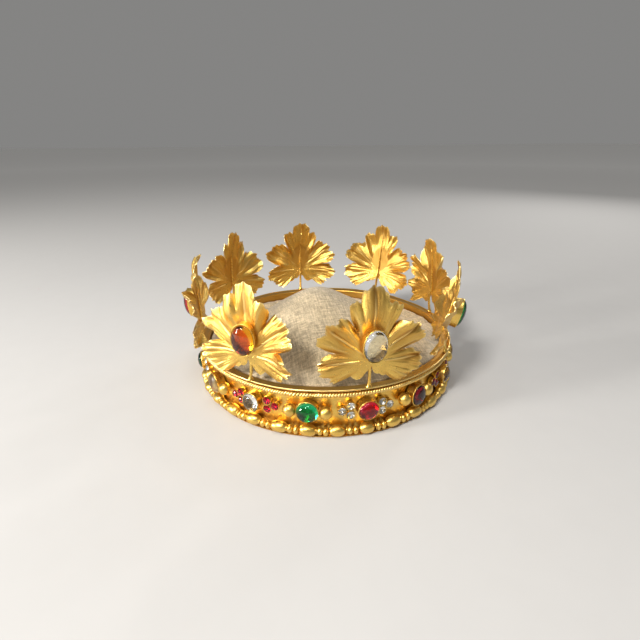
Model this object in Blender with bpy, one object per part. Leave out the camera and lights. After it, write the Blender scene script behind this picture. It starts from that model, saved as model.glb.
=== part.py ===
"""A gilt crown with standing vine leaves, glass cabochons and a fabric cap.

The crown is a flared sheet-metal circlet.  A milled wire lies under its rim and a strand of gilt
beads lies on the flange round its foot.  Sixteen settings stand on the wall: a trefoil setting
(a collet between two clusters of small cups) under each leaf, and a ball setting (a collet between
two gilt balls) between leaves.  Eight pressed leaves stand on wire stalks soldered to the rim,
and each carries a tall collet.  Every collet holds a glass cabochon.  A domed cap fills the inside.

Frame: +Z up, origin at the centre of the foot, leaf_1 at -Y.  Bearings turn anticlockwise seen
from above, starting at -Y.
"""

import math

import bmesh
import bpy
from mathutils import Matrix, Vector

MM = 0.001
FIT_GAP = 0.3 * MM  # left between two pieces that are soldered, set or sewn together

# Circlet
HEAD_RADIUS = 84 * MM
WALL = 1.0 * MM
FLANGE_THICKNESS = 0.8 * MM
FLARE_RADIUS = 5.8 * MM
FLARE_ANGLE = math.radians(75)
ROLL_RADIUS = 1.0 * MM
ROUND_STEPS = 48

# Milled wire, nested in the cove under the flare
MILLED_WIRE_RADIUS = 1.7 * MM
MILLED_WIRE_BEARING = math.radians(45)  # how far up the cove it sits

# Bead strand
BEAD_COUNT = 32
BEAD_RADIUS = 3.4 * MM
SMALL_BEAD_RADIUS = 2.3 * MM
STRAND_WIRE_RADIUS = 0.9 * MM
FLANGE_PAST_BEAD_CENTRE = 0.6 * MM

# Leaves
LEAF_COUNT = 8
LEAF_THICKNESS = 0.8 * MM
LEAF_CURL_RADIUS = 85 * MM
LEAF_FOLD = 5.0 * MM  # how far a notch as far out as the leaf's tip would stand out from the veins
STALK_RADIUS = 1.1 * MM
STALK_RISE = 18 * MM  # from the rim to the junction, where the leaf's veins meet
STALK_OFFSET = 0.6 * MM  # how far the stalk leans out between foot and junction
MIDRIB_LENGTH = 16 * MM
# Half an outline, from the tip down to the stalk: the angle from straight up, in degrees, and the
# distance from the junction, at each lobe's tip and at each notch
LEAF_OUTLINE = (
    (0.0, 41.0 * MM),
    (13.5, 29.5 * MM),
    (20.5, 35.2 * MM),
    (28.0, 20.0 * MM),
    (41.0, 31.5 * MM),
    (52.0, 32.6 * MM),
    (57.5, 27.5 * MM),
    (68.5, 32.2 * MM),
    (79.0, 17.0 * MM),
    (88.0, 29.0 * MM),
    (96.0, 30.4 * MM),
    (108.0, 26.2 * MM),
    (112.5, 20.5 * MM),
    (123.0, 23.8 * MM),
    (134.0, 14.5 * MM),
    (146.0, 14.0 * MM),
    (174.0, 3.5 * MM),
)
VEIN_ANGLES = (0.0, 52.0, 98.0)
FOLD_ANGLES = (28.0, 79.0, 134.0)
# Each leaf as it was soldered and bent by hand, in degrees: shift round the rim, outward lean,
# sideways sway, twist, and how far the blade nods outward at the top of its stalk
LEAF_POSES = (
    (0.0, 0.5, 1.1, -3.0, 0.0),
    (1.0, -13.0, 2.0, 20.0, 25.0),
    (3.5, -5.0, -1.0, -4.0, 0.0),
    (-0.9, 1.5, -5.5, 0.0, 0.0),
    (-0.8, 1.5, -1.7, 0.0, 0.0),
    (-1.0, -0.5, -3.8, -6.0, 0.0),
    (0.0, -8.0, 0.0, -9.0, 11.0),
    (0.0, 0.0, 1.6, 3.0, 0.0),
)

# Collets and cabochons: half the stone's width and height, as seen from the front
LEAF_STONE_HALF = (6.3 * MM, 8.9 * MM)
TREFOIL_STONE_HALF = (6.0 * MM, 5.3 * MM)
BALL_STONE_HALF = (6.2 * MM, 6.2 * MM)
LEAF_COLLET_DEPTH = 5.0 * MM
BAND_COLLET_DEPTH = 5.6 * MM
COLLET_WALL = 0.7 * MM
COLLET_SPREAD = 0.4 * MM  # the foot of a collet is this much narrower than its mouth
SEAT_DEPTH = 2.2 * MM
DOME_SHARE = 0.62  # height of a cabochon's dome over half its width
LEAF_COLLET_RISE = 10.5 * MM  # from the junction to the collet's centre
STRAND_TO_SETTING = 1.8 * MM  # plain wall left below the tallest setting
SETTING_TO_FLARE = 1.3 * MM  # plain wall left above the tallest setting

# What stands beside the collets on the wall
BALL_RADIUS = 3.7 * MM
CUP_RADIUS = 2.7 * MM
CUP_SIDES = 6
CUP_DEPTH = 3.2 * MM
CHATON_RISE = 0.9 * MM
SOLDER_OVERLAP = 0.35 * MM

# Fabric cap
CAP_THICKNESS = 2.0 * MM
CAP_SKIRT_BOTTOM = 4.0 * MM
CAP_SHOULDER_BELOW_RIM = 7.0 * MM
CAP_PEAK_ABOVE_RIM = 28.0 * MM
CAP_STEPS = 32
CAP_RINGS = 6

STONES = {
    "clear": (0.86, 0.86, 0.82),
    "amber": (0.72, 0.25, 0.02),
    "ruby": (0.62, 0.01, 0.04),
    "emerald": (0.01, 0.36, 0.14),
    "garnet": (0.22, 0.01, 0.02),
    "citrine": (0.85, 0.62, 0.18),
}
LEAF_STONES = ("clear", "emerald", "ruby", "amber", "clear", "emerald", "ruby", "amber")
TREFOIL_STONES = ("ruby", "clear", "emerald", "clear", "ruby", "clear", "emerald", "clear")
BALL_STONES = ("garnet", "clear", "citrine", "emerald", "garnet", "clear", "citrine", "emerald")

# Sizes that follow from the ones above
WALL_OUTSIDE = HEAD_RADIUS + WALL
WALL_MIDDLE = HEAD_RADIUS + WALL / 2
BEAD_CIRCLE = WALL_OUTSIDE + FIT_GAP + BEAD_RADIUS
BEAD_HEIGHT = FLANGE_THICKNESS + FIT_GAP + BEAD_RADIUS
FLANGE_OUTSIDE = BEAD_CIRCLE + FLANGE_PAST_BEAD_CENTRE
TALLEST_STONE_HALF = max(TREFOIL_STONE_HALF[1], BALL_STONE_HALF[1])
TALLEST_SETTING_HALF = TALLEST_STONE_HALF + FIT_GAP + COLLET_WALL
SETTING_HEIGHT = BEAD_HEIGHT + BEAD_RADIUS + STRAND_TO_SETTING + TALLEST_SETTING_HALF
FLARE_RUN = FLARE_RADIUS * (1 - math.cos(FLARE_ANGLE))
FLARE_RISE = FLARE_RADIUS * math.sin(FLARE_ANGLE)
FLARE_BOTTOM = SETTING_HEIGHT + TALLEST_SETTING_HALF + SETTING_TO_FLARE
FLARE_CENTRE = (WALL_MIDDLE + FLARE_RADIUS, FLARE_BOTTOM)
BAND_HEIGHT = FLARE_BOTTOM + FLARE_RISE + ROLL_RADIUS
CUP_PITCH = 2 * CUP_RADIUS * math.cos(math.pi / CUP_SIDES) - SOLDER_OVERLAP / 2
STALK_CIRCLE = WALL_MIDDLE + FLARE_RUN
STALK_FOOT = BAND_HEIGHT + FIT_GAP
CAP_OUTSIDE = HEAD_RADIUS - FIT_GAP
SETTING_CIRCLE = WALL_OUTSIDE + FIT_GAP
CAP_SHOULDER = BAND_HEIGHT - CAP_SHOULDER_BELOW_RIM
CAP_PEAK = BAND_HEIGHT + CAP_PEAK_ABOVE_RIM


def clear_scene():
    for obj in list(bpy.data.objects):
        bpy.data.objects.remove(obj)


def material(name, colour, roughness, metallic):
    made = bpy.data.materials.get(name) or bpy.data.materials.new(name)
    made.use_nodes = True
    shader = made.node_tree.nodes["Principled BSDF"]
    shader.inputs["Base Color"].default_value = (*colour, 1)
    shader.inputs["Roughness"].default_value = roughness
    shader.inputs["Metallic"].default_value = metallic
    made.diffuse_color = (*colour, 1)
    return made


def gilt(name="gilt_brass", colour=(0.80, 0.52, 0.13), roughness=0.32):
    return material(name, colour, roughness, 1.0)


def glass(name):
    return material(f"glass_{name}", STONES[name], 0.05, 0.0)


def add(name, data, finish, matrix=None):
    """Puts a mesh or curve in the scene as one named piece."""
    obj = bpy.data.objects.new(name, data)
    bpy.context.scene.collection.objects.link(obj)
    if not data.materials:
        data.materials.append(finish)
    obj.material_slots[0].link = "OBJECT"
    obj.material_slots[0].material = finish
    if matrix is not None:
        obj.matrix_local = matrix
    return obj


def mesh_of(bm, smooth_below=math.radians(40)):
    bmesh.ops.recalc_face_normals(bm, faces=bm.faces)
    mesh = bpy.data.meshes.new("piece")
    bm.to_mesh(mesh)
    bm.free()
    mesh.shade_smooth()
    mesh.set_sharp_from_angle(angle=smooth_below)
    return mesh


def turned(profile, steps=ROUND_STEPS):
    """The body that a closed outline of (radius, height) points makes, turned about Z."""
    bm = bmesh.new()
    corners = [bm.verts.new((radius, 0, height)) for radius, height in profile]
    edges = [bm.edges.new(pair) for pair in zip(corners, corners[1:] + corners[:1])]
    bmesh.ops.spin(
        bm, geom=corners + edges, cent=(0, 0, 0), axis=(0, 0, 1),
        angle=math.tau, steps=steps, use_merge=True,
    )
    return mesh_of(bm)


def lofted(rings):
    """The closed body that joins rings of points, with a flat cap on the first and on the last."""
    bm = bmesh.new()
    loops = [[bm.verts.new(point) for point in ring] for ring in rings]
    for low, high in zip(loops, loops[1:]):
        for here in range(len(low)):
            ahead = (here + 1) % len(low)
            bm.faces.new((low[here], low[ahead], high[ahead], high[here]))
    bm.faces.new(loops[0][::-1])
    bm.faces.new(loops[-1])
    return mesh_of(bm)


def oval(half_width, half_height, depth, steps):
    """A ring of points in a setting's own frame: X across, Z up, and Y out of the piece."""
    turns = [math.tau * step / steps for step in range(steps)]
    return [Vector((half_width * math.cos(t), depth, half_height * math.sin(t))) for t in turns]


def joined(meshes):
    """One mesh: the Boolean union of overlapping closed meshes."""
    helpers = []
    for mesh in meshes:
        helper = bpy.data.objects.new("helper", mesh)
        bpy.context.scene.collection.objects.link(helper)
        helper.hide_render = True
        helper.display_type = "WIRE"
        helpers.append(helper)
    for tool in helpers[1:]:
        union = helpers[0].modifiers.new("union", "BOOLEAN")
        union.operation = "UNION"
        union.object = tool
    bpy.context.view_layer.update()
    evaluated = helpers[0].evaluated_get(bpy.context.evaluated_depsgraph_get())
    mesh = bpy.data.meshes.new_from_object(evaluated)
    for helper in helpers:
        bpy.data.objects.remove(helper)
    return mesh


def moved(mesh, matrix):
    copy = mesh.copy()
    copy.transform(matrix)
    return copy


def at_bearing(bearing, radius, height):
    """A frame on the crown whose Y points outward, at a bearing from -Y."""
    turn = Matrix.Rotation(bearing + math.pi, 4, "Z")
    return turn @ Matrix.Translation((0, radius, height))


def flare(side, steps=3):
    """Points up one side of the flare: side is -1 on the hollow outside and +1 on the inside."""
    radius = FLARE_RADIUS + side * WALL / 2
    turns = [FLARE_ANGLE * step / steps for step in range(steps)]
    centre_radius, centre_height = FLARE_CENTRE
    return [(centre_radius - radius * math.cos(t), centre_height + radius * math.sin(t)) for t in turns]


def rolled_edge(steps=6):
    """Points round the rolled edge, from the flare's outside over the top to its inside."""
    centre = (WALL_MIDDLE + FLARE_RUN, FLARE_BOTTOM + FLARE_RISE)
    start = -FLARE_ANGLE - math.radians(35)
    sweep = math.pi + math.radians(70)
    turns = [start + sweep * step / steps for step in range(steps + 1)]
    return [(centre[0] + ROLL_RADIUS * math.cos(t), centre[1] + ROLL_RADIUS * math.sin(t)) for t in turns]


def circlet_band():
    outline = [
        (HEAD_RADIUS, 0),
        (FLANGE_OUTSIDE, 0),
        (FLANGE_OUTSIDE, FLANGE_THICKNESS),
        (WALL_OUTSIDE, FLANGE_THICKNESS),
    ]
    outline += flare(-1) + rolled_edge() + flare(1)[::-1]
    add("circlet_band", turned(outline), gilt())


def milled_wire():
    reach = FLARE_RADIUS - WALL / 2 - FIT_GAP - MILLED_WIRE_RADIUS
    centre_radius = FLARE_CENTRE[0] - reach * math.cos(MILLED_WIRE_BEARING)
    centre_height = FLARE_CENTRE[1] + reach * math.sin(MILLED_WIRE_BEARING)
    sides = [math.tau * side / 6 for side in range(6)]
    section = [
        (centre_radius + MILLED_WIRE_RADIUS * math.cos(t), centre_height + MILLED_WIRE_RADIUS * math.sin(t))
        for t in sides
    ]
    add("milled_wire", turned(section), gilt("gilt_wire", roughness=0.4))


def bead_strand():
    """Large beads with a pair of small ones between them, as one tube that swells and narrows."""
    # Shares of the way from one large bead to the next, with the tube's radius there
    stations = (
        (0.00, BEAD_RADIUS),
        (0.17, 0.85 * BEAD_RADIUS),
        (0.27, STRAND_WIRE_RADIUS),
        (0.36, SMALL_BEAD_RADIUS),
        (0.64, SMALL_BEAD_RADIUS),
        (0.73, STRAND_WIRE_RADIUS),
        (0.83, 0.85 * BEAD_RADIUS),
    )
    curve = bpy.data.curves.new("strand", "CURVE")
    curve.dimensions = "3D"
    curve.twist_mode = "Z_UP"
    curve.bevel_depth = 1.0
    curve.bevel_resolution = 1
    spline = curve.splines.new("POLY")
    spline.use_cyclic_u = True
    spline.points.add(BEAD_COUNT * len(stations) - 1)
    for index, point in enumerate(spline.points):
        share, radius = stations[index % len(stations)]
        bearing = math.tau * (index // len(stations) + share) / BEAD_COUNT
        spot = at_bearing(bearing, BEAD_CIRCLE, BEAD_HEIGHT).translation
        point.co = (*spot, 1)
        point.radius = radius
    add("bead_strand", curve, gilt("gilt_beads", roughness=0.28))


def fold_of(angle):
    """0 on a vein and 1 on a fold between two lobes, for an angle in degrees from straight up."""
    angle = abs(angle)
    marks = sorted([(a, 0.0) for a in VEIN_ANGLES] + [(a, 1.0) for a in FOLD_ANGLES] + [(180.0, 0.0)])
    for (low, start), (high, end) in zip(marks, marks[1:]):
        if low <= angle <= high:
            return start + (end - start) * (angle - low) / (high - low)
    return 0.0


def leaf_point(angle, reach):
    """A point of the leaf's sheet, from the junction: X across, Y outward and Z up."""
    across = reach * math.sin(math.radians(angle))
    curl = -across * across / (2 * LEAF_CURL_RADIUS)
    fold = LEAF_FOLD * fold_of(angle) * (reach / LEAF_OUTLINE[0][1]) ** 2
    return Vector((across, curl + fold, reach * math.cos(math.radians(angle))))


def leaf_sheet():
    """The pressed sheet, from its outline and one inner ring, thickened both ways."""
    half = LEAF_OUTLINE
    outline = [(-angle, reach) for angle, reach in reversed(half[1:])] + list(half)
    bm = bmesh.new()
    centre = bm.verts.new((0, 0, 0))
    inner = [bm.verts.new(leaf_point(angle, 0.5 * reach)) for angle, reach in outline]
    outer = [bm.verts.new(leaf_point(angle, reach)) for angle, reach in outline]
    for here in range(len(outline)):
        ahead = (here + 1) % len(outline)
        bm.faces.new((centre, inner[here], inner[ahead]))
        bm.faces.new((inner[here], outer[here], outer[ahead], inner[ahead]))
    bmesh.ops.triangulate(bm, faces=bm.faces)
    sheet = bpy.data.objects.new("sheet", mesh_of(bm))
    bpy.context.scene.collection.objects.link(sheet)
    thicken = sheet.modifiers.new("thicken", "SOLIDIFY")
    thicken.thickness = LEAF_THICKNESS
    thicken.offset = 0
    bpy.context.view_layer.update()
    mesh = bpy.data.meshes.new_from_object(sheet.evaluated_get(bpy.context.evaluated_depsgraph_get()))
    bpy.data.objects.remove(sheet)
    return mesh


def stalk(bend, crook):
    """The wire from its upright foot on the rim up to the leaf and along its midrib."""
    back = STALK_OFFSET
    path = (
        (Vector((0, 0, 0)), 1.6),
        (Vector((0, 0, STALK_RADIUS)), 1.0),
        (bend @ Vector((0, 0.3 * back, 0.5 * STALK_RISE)), 1.0),
        (bend @ crook @ Vector((0, 0, 0)), 1.0),
        (bend @ crook @ Vector((0, 0, MIDRIB_LENGTH)), 0.75),
    )
    rings = []
    for spot, share in path:
        radius = STALK_RADIUS * share
        turns = [math.tau * side / 8 for side in range(8)]
        rings.append([spot + Vector((radius * math.cos(t), radius * math.sin(t), 0)) for t in turns])
    return lofted(rings)


def sheet_stand_off():
    """How far the sheet's middle stands outward of the stalk's centre line."""
    return STALK_RADIUS + LEAF_THICKNESS / 2 - SOLDER_OVERLAP


def collet_seat():
    """Where a collet's foot clears the leaf: the highest point of the sheet under it."""
    half_width, half_height = (half + COLLET_WALL + FIT_GAP for half in LEAF_STONE_HALF)
    spots = [Vector((0, 0, 0))]
    for point in oval(half_width, half_height, 0, 24):
        across, up = point.x, point.z + LEAF_COLLET_RISE
        angle = math.degrees(math.atan2(across, up))
        spots.append(leaf_point(angle, math.hypot(across, up)))
    return max(spot.y for spot in spots) + LEAF_THICKNESS / 2 + FIT_GAP


def collet(half, depth, steps):
    """A cup for a cabochon: a wall that spreads to the mouth, and a seat inside it."""
    wide, tall = (size + FIT_GAP + COLLET_WALL for size in half)
    foot = COLLET_SPREAD
    return lofted((
        oval(wide - foot, tall - foot, 0, steps),
        oval(wide, tall, depth, steps),
        oval(wide - COLLET_WALL, tall - COLLET_WALL, depth, steps),
        oval(wide - COLLET_WALL, tall - COLLET_WALL, depth - SEAT_DEPTH, steps),
    ))


def cabochon(half, depth, steps):
    """A domed oval stone, resting on its collet's seat."""
    dome = DOME_SHARE * min(half)
    rings = [oval(*half, depth - SEAT_DEPTH + FIT_GAP, steps)]
    for rise in (0, 30, 58, 80):
        share = math.cos(math.radians(rise))
        rings.append(oval(half[0] * share, half[1] * share, depth + dome * math.sin(math.radians(rise)), steps))
    return lofted(rings)


def ball():
    turns = [math.radians(t) for t in (-62, -22, 22, 62)]
    return lofted([
        oval(BALL_RADIUS * math.cos(t), BALL_RADIUS * math.cos(t), BALL_RADIUS * math.sin(t), 8)
        for t in turns
    ])


def chaton_cup():
    """A small cup with its faceted stone, seen as one plain body."""
    return lofted((
        oval(0.9 * CUP_RADIUS, 0.9 * CUP_RADIUS, 0, CUP_SIDES),
        oval(CUP_RADIUS, CUP_RADIUS, CUP_DEPTH, CUP_SIDES),
        oval(0.5 * CUP_RADIUS, 0.5 * CUP_RADIUS, CUP_DEPTH + CHATON_RISE, CUP_SIDES),
    ))


def on_the_wall(along, up, out=0.0):
    """From a setting's frame to a spot further along the round wall."""
    bearing = along / SETTING_CIRCLE
    centre = Matrix.Translation((0, -SETTING_CIRCLE, 0))
    return centre @ Matrix.Rotation(-bearing, 4, "Z") @ Matrix.Translation((0, SETTING_CIRCLE + out, up))


def trefoil_setting():
    """A collet with three small cups on either side, pointing away from it."""
    wide, tall = (half + FIT_GAP + COLLET_WALL - COLLET_SPREAD for half in TREFOIL_STONE_HALF)
    collet_edge = wide * math.sqrt(1 - (CUP_PITCH / 2 / tall) ** 2)
    near = collet_edge + 0.92 * CUP_RADIUS - SOLDER_OVERLAP
    far = near + CUP_PITCH * math.cos(math.radians(30))
    pieces = [collet(TREFOIL_STONE_HALF, BAND_COLLET_DEPTH, 12)]
    for side in (-1, 1):
        for along, up in ((near, CUP_PITCH / 2), (near, -CUP_PITCH / 2), (far, 0)):
            pieces.append(moved(chaton_cup(), on_the_wall(side * along, up)))
    return joined(pieces)


def ball_setting():
    """A collet between two gilt balls."""
    collet_edge = BALL_STONE_HALF[0] + FIT_GAP + COLLET_WALL
    spread_by_the_wall = 1 + BALL_RADIUS / SETTING_CIRCLE
    along = (collet_edge + 0.9 * BALL_RADIUS - COLLET_SPREAD) / spread_by_the_wall
    pieces = [collet(BALL_STONE_HALF, BAND_COLLET_DEPTH, 12)]
    for side in (-1, 1):
        pieces.append(moved(ball(), on_the_wall(side * along, 0, BALL_RADIUS)))
    return joined(pieces)


def settings_on_the_band():
    pitch = math.tau / LEAF_COUNT
    kinds = (
        ("trefoil", 0.0, trefoil_setting(), TREFOIL_STONE_HALF, TREFOIL_STONES),
        ("ball", pitch / 2, ball_setting(), BALL_STONE_HALF, BALL_STONES),
    )
    for kind, offset, setting, half, stones in kinds:
        stone = cabochon(half, BAND_COLLET_DEPTH, 12)
        for index in range(LEAF_COUNT):
            place = at_bearing(index * pitch + offset, SETTING_CIRCLE, SETTING_HEIGHT)
            add(f"{kind}_setting_{index + 1}", setting, gilt(), place)
            add(f"{kind}_cabochon_{index + 1}", stone, glass(stones[index % len(stones)]), place)


def bent(lean, sway, twist):
    """How a leaf is bent by hand, about the foot of its stalk."""
    return Matrix.Rotation(-lean, 4, "X") @ Matrix.Rotation(-sway, 4, "Y") @ Matrix.Rotation(twist, 4, "Z")


def leaves():
    stalk_top = Matrix.Translation((0, STALK_OFFSET, STALK_RISE))
    stand_off = Matrix.Translation((0, sheet_stand_off(), 0))
    seat = Matrix.Translation((0, collet_seat(), LEAF_COLLET_RISE))
    sheet = leaf_sheet()
    setting = collet(LEAF_STONE_HALF, LEAF_COLLET_DEPTH, 16)
    stone = cabochon(LEAF_STONE_HALF, LEAF_COLLET_DEPTH, 16)
    finish = gilt("gilt_leaf", (0.82, 0.50, 0.11), 0.36)
    for index in range(LEAF_COUNT):
        shift, *turns, nod = (math.radians(turn) for turn in LEAF_POSES[index % len(LEAF_POSES)])
        bend = bent(*turns)
        crook = stalk_top @ Matrix.Rotation(-nod, 4, "X")
        blade = bend @ crook @ stand_off
        foot = at_bearing(index * math.tau / LEAF_COUNT + shift, STALK_CIRCLE, STALK_FOOT)
        leaf = joined((moved(sheet, blade), stalk(bend, crook)))
        place = foot @ blade @ seat
        add(f"leaf_{index + 1}", leaf, finish, foot)
        add(f"leaf_collet_{index + 1}", setting, gilt(), place)
        add(f"leaf_cabochon_{index + 1}", stone, glass(LEAF_STONES[index % len(LEAF_STONES)]), place)


def cap_height(share):
    """Height of the cap's outside at a share of its radius."""
    return CAP_SHOULDER + (CAP_PEAK - CAP_SHOULDER) * (1 - share**2) ** 0.85


def fabric_cap():
    """A domed cap with a skirt, hollow underneath."""
    inside = 1 - CAP_THICKNESS / CAP_OUTSIDE
    shares = [math.cos(math.pi / 2 * ring / CAP_RINGS) for ring in range(CAP_RINGS)]
    outer = [(CAP_OUTSIDE, CAP_SKIRT_BOTTOM)] + [(CAP_OUTSIDE * s, cap_height(s)) for s in shares]
    inner = [(CAP_OUTSIDE * inside, CAP_SKIRT_BOTTOM)]
    inner += [(CAP_OUTSIDE * inside * s, cap_height(s) - CAP_THICKNESS) for s in shares]
    smallest = 0.05
    outer.append((CAP_OUTSIDE * smallest, cap_height(smallest)))
    inner.append((CAP_OUTSIDE * smallest, cap_height(smallest) - CAP_THICKNESS))
    rings = []
    for radius, height in inner[::-1] + outer:
        turns = [math.tau * step / CAP_STEPS for step in range(CAP_STEPS)]
        rings.append([Vector((radius * math.cos(t), radius * math.sin(t), height)) for t in turns])
    add("fabric_cap", lofted(rings), material("cap_fabric", (0.42, 0.35, 0.25), 0.8, 0.0))


def main():
    clear_scene()
    circlet_band()
    milled_wire()
    bead_strand()
    settings_on_the_band()
    leaves()
    fabric_cap()


main()
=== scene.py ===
"""The crown's looks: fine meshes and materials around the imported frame.

Lengths are in metres, in the frame's axes: +Z up, leaf_1 at -Y.  Bearings turn anticlockwise seen
from above, starting at -Y.  A setting's own frame has X across it, Y out of the crown and Z up.
"""

import math

import bmesh
import bpy
import numpy as np
from mathutils import Matrix, Vector, noise


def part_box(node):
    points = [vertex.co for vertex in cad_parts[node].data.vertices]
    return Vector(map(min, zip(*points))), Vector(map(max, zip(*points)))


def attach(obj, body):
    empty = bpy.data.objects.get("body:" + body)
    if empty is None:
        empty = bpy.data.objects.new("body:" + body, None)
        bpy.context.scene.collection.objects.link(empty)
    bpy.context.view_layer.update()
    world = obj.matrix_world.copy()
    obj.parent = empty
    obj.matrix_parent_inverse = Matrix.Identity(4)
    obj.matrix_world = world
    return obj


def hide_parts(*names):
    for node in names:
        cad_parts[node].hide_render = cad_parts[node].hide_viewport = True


MM = 0.001
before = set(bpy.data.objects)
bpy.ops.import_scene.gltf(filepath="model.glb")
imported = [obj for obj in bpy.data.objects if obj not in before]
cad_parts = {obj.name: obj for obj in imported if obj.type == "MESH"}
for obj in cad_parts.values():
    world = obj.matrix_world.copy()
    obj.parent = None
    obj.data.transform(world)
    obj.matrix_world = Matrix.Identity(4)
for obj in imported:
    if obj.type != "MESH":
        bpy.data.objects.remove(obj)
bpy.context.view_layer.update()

RIM_Z = Vector(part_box("circlet_band")[1]).z
WALL_IN = 84.0 * MM
WALL_OUT = 85.0 * MM
FLARE_R = 5.8 * MM  # the curve from the wall out to the lip, seen in a section
FLARE_ANGLE = math.radians(75)
SETTING_R = WALL_OUT + 0.3 * MM  # settings are soldered to the wall, with a gap for the solder
SETTINGS = 8  # of each kind, in turn with the others round the wall
BEADS = 32
BEAD_Z = 4.5 * MM
BEAD_R = 88.7 * MM
LEAVES = 8
STALK_R = 88.8 * MM  # the circle of the stalks' feet on the lip
STALK_RISE = 18 * MM  # from the foot to where the leaf's veins meet
STALK_OFFSET = 0.6 * MM
STAND_OFF = 1.15 * MM  # from the stalk's middle to the sheet's middle
COLLET_RISE = 10.5 * MM  # from where the veins meet up to the middle of the leaf's collet
SETTING_Z = sum(corner[2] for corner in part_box("ball_cabochon_1")) / 2
CAMERA_BEARING = math.radians(-15.88)

LEAF_STONES = ("clear", "emerald", "ruby", "amber") * 2
TREFOIL_STONES = ("ruby", "clear", "emerald", "clear") * 2
TREFOIL_CHATONS = ("clear", "garnet", "clear", "ruby", "clear", "ruby", "clear", "ruby")
BALL_STONES = ("garnet", "clear", "citrine", "emerald") * 2
# each leaf's shift round the rim, outward lean, sideways sway, twist and blade's nod, in degrees
LEAF_POSES = (
    (0.0, 0.5, 1.1, -3.0, 0.0),
    (1.0, -13.0, 2.0, 20.0, 25.0),
    (3.5, -5.0, -1.0, -4.0, 0.0),
    (-0.9, 1.5, -5.5, 0.0, 0.0),
    (-0.8, 1.5, -1.7, 0.0, 0.0),
    (-1.0, -0.5, -3.8, -6.0, 0.0),
    (0.0, -8.0, 0.0, -9.0, 11.0),
    (0.0, 0.0, 1.6, 3.0, 0.0),
)


# --- helpers


OVAL_STEPS = 64


def smooth(low, high, value):
    """0 below low, 1 above high, and an even rise between them."""
    share = np.clip((np.asarray(value, dtype=float) - low) / (high - low), 0.0, 1.0)
    return share * share * (3 - 2 * share)


def slack(dice, span):
    """A random amount, as much to one side as to the other."""
    return (dice.random() - 0.5) * span


def turned(angle, axis):
    return Matrix.Rotation(angle, 4, axis)


def around(turn, radius, height=0.0):
    """The point at a bearing, a radius and a height."""
    return Vector((radius * math.sin(turn), -radius * math.cos(turn), height))


def at_bearing(bearing, radius, height):
    """The frame of a spot on the crown: X along the rim, Y out of it and Z up."""
    return turned(bearing + math.pi, "Z") @ Matrix.Translation((0, radius, height))


def mesh_piece(name, points, faces, finish, sharp=None, layers=None, closed=True):
    """A mesh object from plain lists; layers are point attributes by name."""
    mesh = bpy.data.meshes.new(name)
    mesh.from_pydata([tuple(p) for p in points], [], faces)
    mesh.validate()
    if closed:
        shell = bmesh.new()
        shell.from_mesh(mesh)
        bmesh.ops.recalc_face_normals(shell, faces=shell.faces)
        shell.to_mesh(mesh)
        shell.free()
    if sharp == "flat":
        mesh.shade_flat()
    else:
        mesh.shade_smooth()
        if sharp:
            mesh.set_sharp_from_angle(angle=math.radians(sharp))
    for key, values in (layers or {}).items():
        values = np.asarray(values, dtype=float)
        kind = "FLOAT" if values.ndim == 1 else "FLOAT_VECTOR"
        layer = mesh.attributes.new(key, kind, "POINT")
        layer.data.foreach_set("value" if kind == "FLOAT" else "vector", values.ravel())
    piece = bpy.data.objects.new(name, mesh)
    bpy.context.scene.collection.objects.link(piece)
    mesh.materials.append(finish)
    return piece


def grid_faces(rows, columns, wrap_rows=False, start=0):
    """Quads between rows of points, each row closed on itself."""
    faces = []
    for row in range(rows if wrap_rows else rows - 1):
        here, above = start + row * columns, start + ((row + 1) % rows) * columns
        for column in range(columns):
            ahead = (column + 1) % columns
            faces.append((here + column, here + ahead, above + ahead, above + column))
    return faces


def lathe(profile, steps, wobble):
    """Points and faces of a closed (radius, height) outline turned about Z, unevenly."""
    points = []
    for radius, height in profile:
        for step in range(steps):
            turn = math.tau * step / steps
            points.append(around(turn, *wobble(radius, height, turn)))
    return points, grid_faces(len(profile), steps, wrap_rows=True)


def cup_of_rings(rings, close_first=True, close_last=True):
    """Points and faces of stacked rings of equal length."""
    points = [p for ring in rings for p in ring]
    size = len(rings[0])
    faces = grid_faces(len(rings), size)
    if close_first:
        faces.append(tuple(reversed(range(size))))
    if close_last:
        faces.append(tuple(range(len(points) - size, len(points))))
    return points, faces


def oval(half_width, half_height, depth, steps=OVAL_STEPS):
    """A ring facing Y, at a depth along Y."""
    turns = [math.tau * step / steps for step in range(steps)]
    return [(half_width * math.cos(t), depth, -half_height * math.sin(t)) for t in turns]


def tube(path, radii, sides=12, closed=False):
    """Points and faces of a tube along a path, with parallel frames."""
    path = [Vector(p) for p in path]
    count = len(path)
    points = []
    normal = None
    for index, spot in enumerate(path):
        if closed:
            along = (path[(index + 1) % count] - path[index - 1]).normalized()
        else:
            along = (path[min(index + 1, count - 1)] - path[max(index - 1, 0)]).normalized()
        if normal is None:
            normal = along.orthogonal().normalized()
        normal = (normal - along * normal.dot(along)).normalized()
        other = along.cross(normal)
        for side in range(sides):
            t = math.tau * side / sides
            points.append(spot + radii[index] * (math.cos(t) * normal + math.sin(t) * other))
    faces = grid_faces(count, sides, wrap_rows=closed)
    if not closed:
        faces.append(tuple(reversed(range(sides))))
        faces.append(tuple(range(len(points) - sides, len(points))))
    return points, faces


def merged(parts):
    """Several parts' points and faces as one part's."""
    points, faces = [], []
    for part_points, part_faces in parts:
        start = len(points)
        points.extend(part_points)
        faces.extend(tuple(start + corner for corner in face) for face in part_faces)
    return points, faces


def placed(part, matrix):
    """A part's points moved by a matrix, and its faces."""
    points, faces = part
    return [matrix @ Vector(p) for p in points], faces


def stands_for(piece, slot, *nodes):
    """A piece rides on the crown and hides the nodes that it replaces; its slot is not used."""
    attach(piece, "root")
    if nodes:
        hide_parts(*nodes)


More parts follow.
